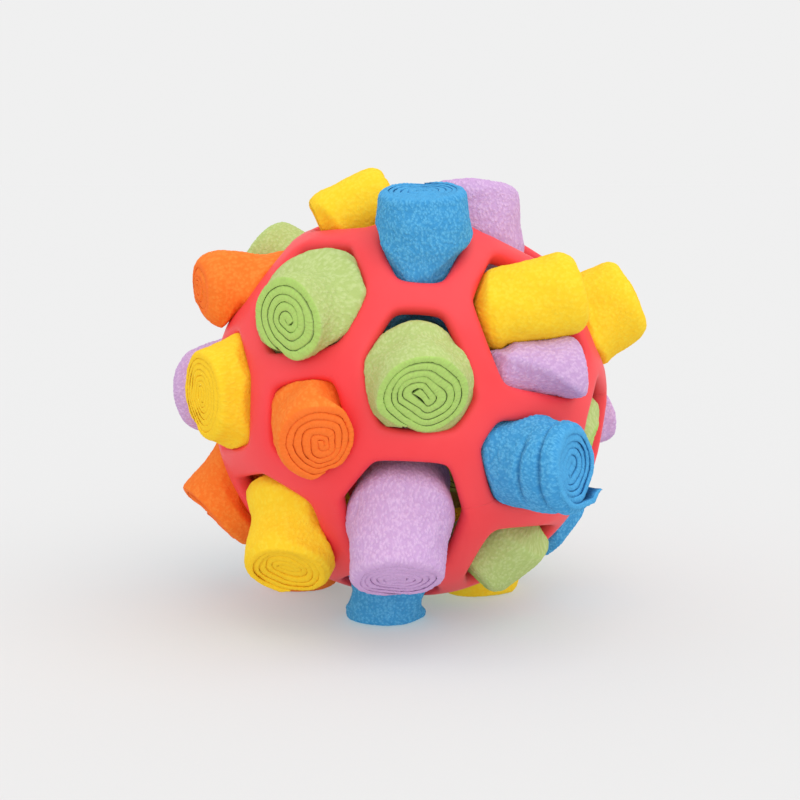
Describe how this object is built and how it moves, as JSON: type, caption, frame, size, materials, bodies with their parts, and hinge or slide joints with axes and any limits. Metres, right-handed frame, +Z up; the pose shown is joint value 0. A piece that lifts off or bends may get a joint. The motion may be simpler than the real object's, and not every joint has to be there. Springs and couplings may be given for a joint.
{
  "type": "snuffle ball pet toy",
  "caption": "Hollow moulded rubber ball of struts with a rolled fleece strip pushed into each hole, for hiding treats that a pet sniffs out.",
  "frame": {"origin": "middle of the underside of the box round the toy, on the ground that its fleece feet stand on", "axes": "+Z up, -Y towards the front that the picture shows, +X to the right"},
  "size_m": [0.1458, 0.1458, 0.1342],
  "materials": {
    "rubber": "satin moulded",
    "fleece_blue": "napped fleece",
    "fleece_green": "napped fleece",
    "fleece_yellow": "napped fleece",
    "fleece_orange": "napped fleece",
    "fleece_lilac": "napped fleece"
  },
  "bodies": {
    "ball": {"rubber_ball": "rubber"},
    "blue_top": {"roll_blue_top": "fleece_blue"},
    "lilac_top_right": {"roll_lilac_top_right": "fleece_lilac"},
    "yellow_right": {"roll_yellow_right": "fleece_yellow"},
    "green_centre": {"roll_green_centre": "fleece_green"},
    "blue_right": {"roll_blue_right": "fleece_blue"},
    "lilac_front": {"roll_lilac_front": "fleece_lilac"},
    "yellow_front_left": {"roll_yellow_front_left": "fleece_yellow"},
    "orange_centre": {"roll_orange_centre": "fleece_orange"},
    "yellow_left": {"roll_yellow_left": "fleece_yellow"},
    "green_left": {"roll_green_left": "fleece_green"},
    "orange_top_left": {"roll_orange_top_left": "fleece_orange"},
    "green_back_left": {"roll_green_back_left": "fleece_green"},
    "orange_low_left": {"roll_orange_low_left": "fleece_orange"},
    "lilac_left": {"roll_lilac_left": "fleece_lilac"},
    "green_right": {"roll_green_right": "fleece_green"},
    "blue_low_right": {"roll_blue_low_right": "fleece_blue"},
    "lilac_right": {"roll_lilac_right": "fleece_lilac"},
    "orange_top_back": {"roll_orange_top_back": "fleece_orange"},
    "lilac_back_right": {"roll_lilac_back_right": "fleece_lilac"},
    "blue_back": {"roll_blue_back": "fleece_blue"},
    "lilac_back_low": {"roll_lilac_back_low": "fleece_lilac"},
    "yellow_back_left": {"roll_yellow_back_left": "fleece_yellow"},
    "orange_back_right": {"roll_orange_back_right": "fleece_orange"},
    "blue_back_low_left": {"roll_blue_back_low_left": "fleece_blue"},
    "green_back_right_low": {"roll_green_back_right_low": "fleece_green"},
    "blue_foot_front": {"roll_blue_foot_front": "fleece_blue"},
    "yellow_foot_right": {"roll_yellow_foot_right": "fleece_yellow"},
    "orange_foot_left": {"roll_orange_foot_left": "fleece_orange"},
    "green_foot_back": {"roll_green_foot_back": "fleece_green"},
    "yellow_top_left": {"roll_yellow_top_left": "fleece_yellow"},
    "yellow_across": {"roll_yellow_across": "fleece_yellow"},
    "lilac_across": {"roll_lilac_across": "fleece_lilac"},
    "green_across": {"roll_green_across": "fleece_green"}
  },
  "joints": [
    {"name": "pull_blue_top", "type": "slide", "parent": "ball", "child": "blue_top", "axis": [0.0703, -0.5905, 0.804], "range_m": [0, 0.024]},
    {"name": "pull_lilac_top_right", "type": "slide", "parent": "ball", "child": "lilac_top_right", "axis": [0.454, -0.0757, 0.8878], "range_m": [0, 0.024]},
    {"name": "pull_yellow_right", "type": "slide", "parent": "ball", "child": "yellow_right", "axis": [0.9093, -0.0415, 0.414], "range_m": [0, 0.024]},
    {"name": "pull_green_centre", "type": "slide", "parent": "ball", "child": "green_centre", "axis": [0.0407, -0.9645, 0.2609], "range_m": [0, 0.024]},
    {"name": "pull_blue_right", "type": "slide", "parent": "ball", "child": "blue_right", "axis": [0.5261, -0.8294, -0.1879], "range_m": [0, 0.024]},
    {"name": "pull_lilac_front", "type": "slide", "parent": "ball", "child": "lilac_front", "axis": [-0.0288, -0.8933, -0.4486], "range_m": [0, 0.024]},
    {"name": "pull_yellow_front_left", "type": "slide", "parent": "ball", "child": "yellow_front_left", "axis": [-0.6412, -0.5326, -0.5525], "range_m": [0, 0.024]},
    {"name": "pull_orange_centre", "type": "slide", "parent": "ball", "child": "orange_centre", "axis": [-0.4906, -0.8713, -0.0106], "range_m": [0, 0.024]},
    {"name": "pull_yellow_left", "type": "slide", "parent": "ball", "child": "yellow_left", "axis": [-0.9242, -0.3724, 0.0846], "range_m": [0, 0.024]},
    {"name": "pull_green_left", "type": "slide", "parent": "ball", "child": "green_left", "axis": [-0.4929, -0.6286, 0.6017], "range_m": [0, 0.024]},
    {"name": "pull_orange_top_left", "type": "slide", "parent": "ball", "child": "orange_top_left", "axis": [-0.7746, -0.0388, 0.6313], "range_m": [0, 0.024]},
    {"name": "pull_green_back_left", "type": "slide", "parent": "ball", "child": "green_back_left", "axis": [-0.5004, 0.5132, 0.6973], "range_m": [0, 0.024]},
    {"name": "pull_orange_low_left", "type": "slide", "parent": "ball", "child": "orange_low_left", "axis": [-0.9123, 0.0424, -0.4073], "range_m": [0, 0.024]},
    {"name": "pull_lilac_left", "type": "slide", "parent": "ball", "child": "lilac_left", "axis": [-0.9264, 0.3453, 0.15], "range_m": [0, 0.024]},
    {"name": "pull_green_right", "type": "slide", "parent": "ball", "child": "green_right", "axis": [0.9316, -0.3161, -0.1797], "range_m": [0, 0.024]},
    {"name": "pull_blue_low_right", "type": "slide", "parent": "ball", "child": "blue_low_right", "axis": [0.7788, 0.0594, -0.6244], "range_m": [0, 0.024]},
    {"name": "pull_lilac_right", "type": "slide", "parent": "ball", "child": "lilac_right", "axis": [0.9275, 0.365, -0.0811], "range_m": [0, 0.024]},
    {"name": "pull_orange_top_back", "type": "slide", "parent": "ball", "child": "orange_top_back", "axis": [0.1063, 0.4416, 0.8909], "range_m": [0, 0.024]},
    {"name": "pull_lilac_back_right", "type": "slide", "parent": "ball", "child": "lilac_back_right", "axis": [0.6454, 0.5253, 0.5545], "range_m": [0, 0.024]},
    {"name": "pull_blue_back", "type": "slide", "parent": "ball", "child": "blue_back", "axis": [0.0456, 0.8956, 0.4426], "range_m": [0, 0.024]},
    {"name": "pull_lilac_back_low", "type": "slide", "parent": "ball", "child": "lilac_back_low", "axis": [-0.0429, 0.9641, -0.2622], "range_m": [0, 0.024]},
    {"name": "pull_yellow_back_left", "type": "slide", "parent": "ball", "child": "yellow_back_left", "axis": [-0.5204, 0.8411, 0.1471], "range_m": [0, 0.024]},
    {"name": "pull_orange_back_right", "type": "slide", "parent": "ball", "child": "orange_back_right", "axis": [0.5229, 0.8522, 0.0171], "range_m": [0, 0.024]},
    {"name": "pull_blue_back_low_left", "type": "slide", "parent": "ball", "child": "blue_back_low_left", "axis": [-0.6437, 0.624, -0.4431], "range_m": [0, 0.024]},
    {"name": "pull_green_back_right_low", "type": "slide", "parent": "ball", "child": "green_back_right_low", "axis": [0.5021, 0.6362, -0.5859], "range_m": [0, 0.024]},
    {"name": "pull_blue_foot_front", "type": "slide", "parent": "ball", "child": "blue_foot_front", "axis": [-0.0956, -0.4138, -0.9053], "range_m": [0, 0.024]},
    {"name": "pull_yellow_foot_right", "type": "slide", "parent": "ball", "child": "yellow_foot_right", "axis": [0.2381, 0.0934, -0.9667], "range_m": [0, 0.024]},
    {"name": "pull_orange_foot_left", "type": "slide", "parent": "ball", "child": "orange_foot_left", "axis": [-0.47, 0.0859, -0.8785], "range_m": [0, 0.024]},
    {"name": "pull_green_foot_back", "type": "slide", "parent": "ball", "child": "green_foot_back", "axis": [-0.1048, 0.6049, -0.7894], "range_m": [0, 0.024]},
    {"name": "pull_yellow_top_left", "type": "slide", "parent": "ball", "child": "yellow_top_left", "axis": [-0.2317, -0.0751, 0.9699], "range_m": [0, 0.024]},
    {"name": "pull_yellow_across", "type": "slide", "parent": "ball", "child": "yellow_across", "axis": [0.6314, -0.6299, 0.4522], "range_m": [0, 0.024]},
    {"name": "pull_lilac_across", "type": "slide", "parent": "ball", "child": "lilac_across", "axis": [0.6314, -0.6299, 0.4522], "range_m": [0, 0.024]},
    {"name": "pull_green_across", "type": "slide", "parent": "ball", "child": "green_across", "axis": [0.5003, -0.4759, -0.7234], "range_m": [0, 0.024]}
  ]
}
